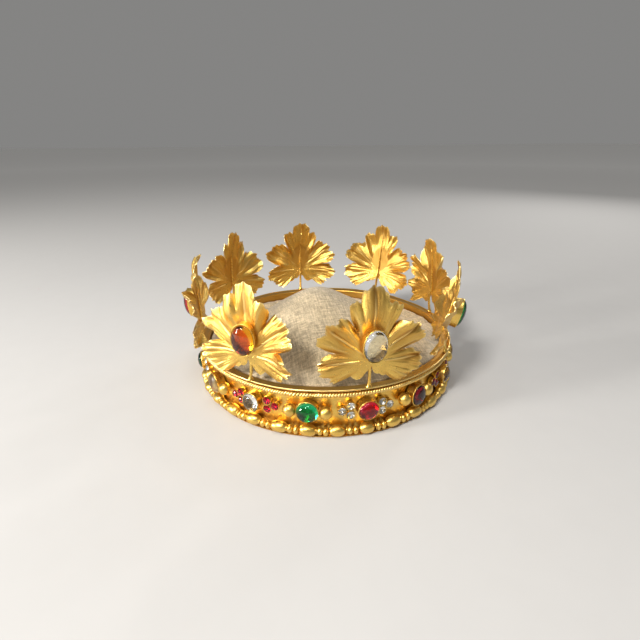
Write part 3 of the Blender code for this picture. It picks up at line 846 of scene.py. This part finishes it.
def leaf_height(angles, reach, outline_reach, relief, seed):
    """How far the sheet's middle stands outward, with a mask of painted shade in its valleys and notches
    and a mask of painted highlight on its margin and veins.
    """
    rho = reach / MM
    x = rho * np.sin(np.radians(angles))
    z = rho * np.cos(np.radians(angles))
    share = rho / (outline_reach / MM)
    height = WRAPS[seed] * x**2 - 0.0026 * ((z - 13) ** 2 - 13**2)
    height += 2.3 * relief * smooth(7, 24, rho)
    # every lobe leans and curls in its own way
    dice = np.random.default_rng(300 + seed)
    for first, last in LOBES:
        lean = slack(dice, 0.8)
        bow = (dice.random() - 0.6) * 5.5
        if first < 0 < last:
            lean, bow = lean * 0.4, bow * 0.5
        inside = smooth(first - 4, first + 4, angles) * (1 - smooth(last - 4, last + 4, angles))
        across = rho * np.sin(np.radians(angles - (first + last) / 2))
        height += inside * smooth(12, 26, rho) * (lean * across + bow * (rho / 30) ** 2)
    valley = np.zeros_like(rho)
    vein = np.zeros_like(rho)
    for side in (-1, 1):
        for angle in MAIN_VEINS + SIDE_VEINS:
            if angle == 0 and side < 0:
                continue
            off = np.radians(angles - side * angle)
            across = np.where(np.abs(off) < 1.2, rho * np.abs(np.sin(off)), 99.0)
            main = angle in MAIN_VEINS
            start = smooth(4, 9, rho) if main else smooth(12, 18, rho)
            fade = 1 - smooth(0.80, 0.99, share)
            depth = (2.3 if main else 0.6) * smooth(6, 22, rho)
            valley += depth * np.exp(-across / (2.8 if main else 1.8)) * start
            ridge = (1.0 if main else 0.45) * np.exp(-((across / 0.5) ** 2))
            vein = np.maximum(vein, ridge * start * fade)
    height -= valley
    height += 0.8 * vein
    # each leaf's own bends: slow waves, and curls towards the margin
    height += 3.0 * sheet_noise(angles, share, 26.0, 2.2, seed * 3.1) * smooth(10, 32, rho)
    curl = sheet_noise(angles, share, 7.0, 1.5, 40 + seed * 5.3)
    height += 2.7 * curl * smooth(0.62, 1.0, share) * smooth(12, 26, rho)
    height += 0.26 * sheet_noise(angles, share, 1.7, 0.8, 80 + seed) * smooth(8, 18, rho)
    # the outer margin of every lobe rolls back a little
    height -= 0.9 * smooth(0.86, 1.0, share) * smooth(14, 28, rho)
    # flat under the collet
    oval_share = np.hypot(x / 7.0, (z - 10.5) / 9.6)
    free = smooth(0.95, 1.5, oval_share)
    height = height * free + 0.25 * (1 - free)
    # painted shade: darker in the vein valleys, the deep notches and round the collet, less on the veins;
    # painted highlight: paler at the margin and on the veins
    shade_and_patina = np.clip(0.75 * valley / 1.8 + 0.5 * np.clip(-relief, 0, 1) * smooth(8, 20, rho), 0, 1)
    shade_and_patina = np.clip(shade_and_patina + 0.8 * (1 - smooth(1.0, 1.25, oval_share)), 0, 1) * (1 - 0.8 * vein)
    edge = np.clip(smooth(0.955, 1.0, share) + 0.7 * vein, 0, 1)
    return height * MM, shade_and_patina, edge


def leaf_mesh(seed):
    """Front, back and rim of a leaf about the foot of its veins, its masks and its outline."""
    dice = np.random.default_rng(100 + seed)
    rows = leaf_outline(dice)
    turns, rings = 420, 30
    angles = -180 + 360 * (np.arange(turns) + 0.5) / turns
    outline, relief = along_outline(angles, rows)
    teeth = 0.5 * MM * np.sin(np.radians(angles) * 52 + seed)
    teeth = teeth + 0.25 * MM * np.sin(np.radians(angles) * 97)
    outline = outline + teeth * smooth(12 * MM, 25 * MM, outline)
    shares = np.linspace(0, 1, rings + 1)[1:] ** 0.9
    reach = shares[:, None] * outline[None, :]
    wide = np.broadcast_to(angles, reach.shape)
    height, shade_and_patina, edge = leaf_height(wide, reach, outline, relief, seed)
    x = reach * np.sin(np.radians(wide))
    z = reach * np.cos(np.radians(wide))
    middle = np.stack([x, height, z], axis=-1)
    # normals by finite differences round and along the sheet
    around = np.roll(middle, -1, axis=1) - np.roll(middle, 1, axis=1)
    outward = np.empty_like(middle)
    outward[1:-1] = middle[2:] - middle[:-2]
    outward[0] = middle[1] - middle[0]
    outward[-1] = middle[-1] - middle[-2]
    normal = np.cross(outward, around)
    normal /= np.linalg.norm(normal, axis=-1, keepdims=True) + 1e-12
    normal *= np.sign(normal[..., 1:2] + 1e-9)
    thick = LEAF_HALF_THICK * (1 - 0.35 * smooth(0.9, 1.0, shares))[:, None, None]
    front = middle + normal * thick
    back = middle - normal * thick
    flat_normal = np.array([0, LEAF_HALF_THICK, 0])
    centre = np.array([0, height[0].mean(), 0])
    points = [tuple(centre + flat_normal)] + [tuple(p) for p in front.reshape(-1, 3)]
    count = rings * turns
    points += [tuple(centre - flat_normal)] + [tuple(p) for p in back.reshape(-1, 3)]
    faces = [(0, 1 + (s + 1) % turns, 1 + s) for s in range(turns)]
    faces += [tuple(reversed(f)) for f in grid_faces(rings, turns, start=1)]
    base = 1 + count
    faces += [(base, base + 1 + s, base + 1 + (s + 1) % turns) for s in range(turns)]
    faces += grid_faces(rings, turns, start=base + 1)
    rim_front, rim_back = 1 + (rings - 1) * turns, base + 1 + (rings - 1) * turns
    for s in range(turns):
        n = (s + 1) % turns
        faces.append((rim_front + s, rim_front + n, rim_back + n, rim_back + s))
    polar = np.stack([np.radians(wide), reach / MM, np.full_like(reach, seed)], axis=-1).reshape(-1, 3)
    zero = np.array([[0, 0, seed]])
    layers = {
        # painted shade, weaker on the back, and painted highlight on both faces
        "shade_and_patina": np.concatenate([[1], shade_and_patina.ravel(), [0.3], shade_and_patina.ravel() * 0.6]),
        "edge": np.concatenate([[0], edge.ravel(), [0], edge.ravel()]),
        "polar": np.concatenate([zero, polar, zero, polar]),
    }
    return points, faces, layers, (angles, outline, relief)


def midrib(seed, facts, stalk_top, crook):
    """The stalk from its solder on the rim, up behind the leaf to near its tip."""
    top = np.argmin(np.abs(facts[0]))
    angle, outline, relief = (row[top : top + 1] for row in facts)
    path = [(Vector((0, 0, 0)), 1.9), (Vector((0, 0, 0.5 * MM)), 1.75), (Vector((0, 0, 1.2 * MM)), 1.2)]
    path += [(Vector((0, 0.02 * MM, 2.2 * MM)), 0.98)]
    bow = 0.7 * MM * math.sin(seed * 2.4)
    for share in (0.25, 0.4, 0.55, 0.7, 0.85):
        rise = share * stalk_top.z
        side = bow * math.sin(math.pi * share)
        path.append((Vector((side, (stalk_top.y - 0.9 * MM) * share, rise)), 0.92))
    for reach in np.linspace(0, 33, 14):
        here = np.array([reach * MM]) + 1e-6
        height, _, _ = leaf_height(angle, here, outline, relief, seed)
        radius = 0.92 * (1 - 0.72 * reach / 33)
        behind = height[0] - LEAF_HALF_THICK - (radius * 0.45) * MM
        path.append((stalk_top + crook @ Vector((0, STAND_OFF + behind, reach * MM)), radius))
    return tube([p for p, _ in path], [float(r) * MM for _, r in path])


def build_leaves():
    """Each leaf with its stalk, its collet and its stone."""
    for index in range(LEAVES):
        shift, lean, sway, twist, nod = (math.radians(turn) for turn in LEAF_POSES[index])
        bend = turned(-lean, "X") @ turned(-sway, "Y") @ turned(twist, "Z")
        foot = at_bearing(index * math.tau / LEAVES + shift, STALK_R, RIM_Z - 0.1 * MM) @ bend
        rise = STALK_RISE + (BACK_RISE if 3 <= index <= 5 else 0.0)
        stalk_top = Vector((0, STALK_OFFSET, rise))
        crook = turned(-nod, "X")
        to_leaf = foot @ Matrix.Translation(stalk_top) @ crook @ Matrix.Translation((0, STAND_OFF, 0))
        points, faces, layers, facts = leaf_mesh(index)
        number = index + 1
        leaf, look = placed((points, faces), to_leaf), {"sharp": 70, "layers": layers}
        crown_piece(f"leaf_fine_{number}", leaf, GILT_LEAF, "gilt_leaf", f"leaf_{number}", **look)
        stalk = placed(midrib(index, facts, stalk_top, crook), foot)
        crown_piece(f"leaf_stalk_{number}", stalk, GILT_STALK, "gilt_leaf")
        own_turn = turned(math.radians(COLLET_TURNS[index]), "Z")
        place = to_leaf @ Matrix.Translation((0, 0.45 * MM, COLLET_RISE)) @ own_turn
        sizes = (6.35 * MM, 8.95 * MM), 0.8 * MM, 5.4 * MM, 3.4 * MM
        set_stone("leaf", number, *sizes, LEAF_STONES[index], place, f"leaf_collet_{number}")


# --- cap

CAP_R = 83.4 * MM


def cap_surface(share, turn):
    """Height of the cloth at a share of the radius and a bearing: a soft hump in a low brim."""
    facing = turn - CAMERA_BEARING
    x, y = share * math.sin(facing), -share * math.cos(facing)
    low = RIM_Z - 14.3 * MM - 11.3 * MM * y + 2.1 * MM * x
    off = math.hypot(x + 0.063, y + 0.059)
    height = low + 46.3 * MM * math.exp(-((off / 0.70) ** 1.64))
    edge = RIM_Z - 3.4 * MM + 3.0 * MM * math.cos(facing)
    join = float(smooth(0.76, 1.0, share))
    height += (edge - height) * join
    slow = noise.noise(Vector((x * 2.1, y * 2.1, 7.7))) * 2.0 * MM * (1 - share**4)
    folds = noise.noise(Vector((x * 5.0 + 3, y * 5.0, 1.2))) * 1.0 * MM
    ring = float(smooth(0.58, 0.93, share)) * (1 - 0.6 * join)
    gathers = noise.noise(Vector((math.cos(turn) * 9, math.sin(turn) * 9, share * 1.2)))
    fine = noise.noise(Vector((math.cos(turn) * 24, math.sin(turn) * 24, share * 2.0)))
    return height + slow + folds * (1 - 0.4 * ring) + ring * (1.9 * gathers + 1.2 * fine) * MM


def cloth_piece(name, top, grid, faces, weave, layers, *nodes):
    """A sheet of the cap, cut as a circle and gathered into the band."""
    points = [tuple(top)] + [tuple(p) for p in grid.reshape(-1, 3)]
    piece = mesh_piece(name, points, faces, weave, None, layers, closed=False)
    thick = piece.modifiers.new("thick", "SOLIDIFY")
    thick.thickness = 0.5 * MM
    thick.offset = -1
    stands_for(piece, "cap_fabric", *nodes)


def build_cap():
    """The dome, then the edge that rounds over and goes down inside the wall, and the lining."""
    turns, rings = 288, 76
    spread = 1.12  # how far the cloth goes along the dome for each step outwards
    rows, flats = [], []
    for ring in range(1, rings + 1):
        share = ring / rings
        row, flat = [], []
        for step in range(turns):
            turn = math.tau * step / turns
            row.append(around(turn, CAP_R * share, cap_surface(share, turn)))
            flat.append(around(turn, CAP_R * share * spread))
        rows.append(row)
        flats.append(flat)
    edge = rows[-1]
    for drop in (0.6, 1.6, 3.2, 5.6, 8.5, 12.0, 16.0, 20.0):
        row, flat = [], []
        for step in range(turns):
            turn = math.tau * step / turns
            spot = Vector((math.cos(turn) * 14, math.sin(turn) * 14, drop * 0.05))
            pull = (0.25 + 0.45 * noise.noise(spot)) * MM
            r = CAP_R - max(0.0, pull) * min(1.0, drop / 3)
            row.append(around(turn, r, edge[step].z - drop * MM))
            flat.append(around(turn, CAP_R * spread + drop * MM))
        rows.append(row)
        flats.append(flat)
    # round the corner between dome and skirt
    grid = np.array([[tuple(p) for p in row] for row in rows])
    low, high = rings - 4, rings + 3
    for _ in range(3):
        beside = grid[low - 1 : high - 1] + 2 * grid[low:high] + grid[low + 1 : high + 1]
        grid[low:high] = beside / 4
    faces = [(0, 1 + s, 1 + (s + 1) % turns) for s in range(turns)]
    faces += [tuple(reversed(f)) for f in grid_faces(len(rows), turns, start=1)]
    layers = {"flat": np.array([(0.0, 0.0, 0.0)] + [tuple(f) for flat in flats for f in flat])}
    weave = cloth_material("cap_cloth_fine", (0.64, 0.50, 0.30), (0.50, 0.40, 0.27))
    top = (0, 0, grid[0, :, 2].mean())
    cloth_piece("fabric_cap_fine", top, grid, faces, weave, layers, "fabric_cap")
    inner = grid.copy()
    inner[..., 0] *= 0.972
    inner[..., 1] *= 0.972
    inner[..., 2] -= 1.9 * MM
    inner[-8:, :, 2] = np.maximum(inner[-8:, :, 2], 3.5 * MM)
    weave = cloth_material("lining_fine", (0.50, 0.42, 0.30), (0.44, 0.37, 0.27), glint=0.12)
    cloth_piece("cap_lining", inner[0].mean(axis=0), inner, faces, weave, layers)


# --- stage


def area_light(name, spot, aim, size, power, colour):
    data = bpy.data.lights.new(name, "AREA")
    data.shape = "RECTANGLE"
    data.size, data.size_y = size
    data.energy = power
    data.color = colour
    light = bpy.data.objects.new(name, data)
    light.location = spot
    light.rotation_euler = (Vector(aim) - Vector(spot)).to_track_quat("-Z", "Y").to_euler()
    light.visible_camera = False
    bpy.context.scene.collection.objects.link(light)


def build_stage():
    """Pale floor, dim world and four soft lights."""
    reach, height = 12.0, -0.1 * MM
    corners = [(x * reach, y * reach, height) for x, y in ((-1, -1), (1, -1), (1, 1), (-1, 1))]
    m = Nodes("floor")
    place = m.new("ShaderNodeTexCoord").outputs["Object"]
    away = m.new("ShaderNodeVectorMath", {0: place}, operation="LENGTH").outputs["Value"]
    speckle = m.noise(60.0, 3.0)
    near = m.mix(m.ramp(speckle, 0.3, 0.7, 0.0, 0.2), (0.50, 0.49, 0.48), (0.46, 0.45, 0.44))
    # painted light: the floor is darker near the crown and grows paler far out, where the lamps throw
    # little light, so that it meets the world's colour
    m.set(Base_Color=m.mix(m.ramp(away, 0.4, 3.0), near, (0.97, 0.96, 0.94)), Roughness=0.8)
    floor = mesh_piece("floor", corners, [(0, 1, 2, 3)], m.material, closed=False)
    world = bpy.data.worlds.new("studio")
    world.use_nodes = True
    background = world.node_tree.nodes["Background"]
    background.inputs["Color"].default_value = (0.97, 0.96, 0.94, 1)
    background.inputs["Strength"].default_value = 0.24
    bpy.context.scene.world = world
    bpy.context.scene.view_settings.view_transform = "Standard"
    middle = Vector((0, 0, 0.04))
    # bearing from the camera's axis, elevation, distance, width and height, power, colour
    lights = (
        ("key", -30, 44, 1.2, (0.20, 0.20), 13.0, (1.0, 0.98, 0.94)),
        ("left_strip", -66, 14, 1.2, (0.18, 0.45), 15.0, (1.0, 0.98, 0.94)),
        ("overhead", 10, 70, 1.2, (0.30, 0.30), 4.0, (1.0, 0.99, 0.97)),
        ("right_back", 140, 28, 1.2, (0.20, 0.35), 2.5, (1.0, 0.98, 0.95)),
    )
    for name, bearing, elevation, distance, size, power, colour in lights:
        turn, rise = math.radians(bearing) + CAMERA_BEARING, math.radians(elevation)
        ahead = around(turn, math.cos(rise), math.sin(rise))
        area_light(name, middle + distance * ahead, middle, size, power, colour)


def build_camera():
    """The view from above the front, 320 mm from the middle of the rim."""
    distance, elevation = 319.53 * MM, math.radians(23.703)
    yaw, pitch = math.radians(-0.717), math.radians(0.836)
    turn = turned(CAMERA_BEARING, "Z")
    from_rim = Vector((0, -distance * math.cos(elevation), distance * math.sin(elevation)))
    ahead = -from_rim.normalized()
    right = Vector((1, 0, 0))
    up = right.cross(ahead)
    side = right * math.cos(yaw) - ahead * math.sin(yaw)
    level = right * math.sin(yaw) + ahead * math.cos(yaw)
    top = up * math.cos(pitch) - level * math.sin(pitch)
    look = up * math.sin(pitch) + level * math.cos(pitch)
    basis = Matrix((side, top, -look)).transposed().to_4x4()
    data = bpy.data.cameras.new("camera")
    data.sensor_width = 36
    data.lens = 36 * 428.474 / 640  # a focal length of 428.474 pixels in a 640-pixel image
    data.clip_start = 0.01
    camera = bpy.data.objects.new("camera", data)
    rim_centre = Vector((0, 0, RIM_Z - 0.5 * MM))
    camera.matrix_world = turn @ Matrix.Translation(from_rim) @ basis
    camera.location += rim_centre
    bpy.context.scene.collection.objects.link(camera)
    bpy.context.scene.camera = camera


build_band()
build_milled_wire()
build_beads()
setting_dice = np.random.default_rng(5)
build_trefoil_settings(setting_dice)
build_ball_settings(setting_dice)
build_leaves()
build_cap()
build_stage()
build_camera()
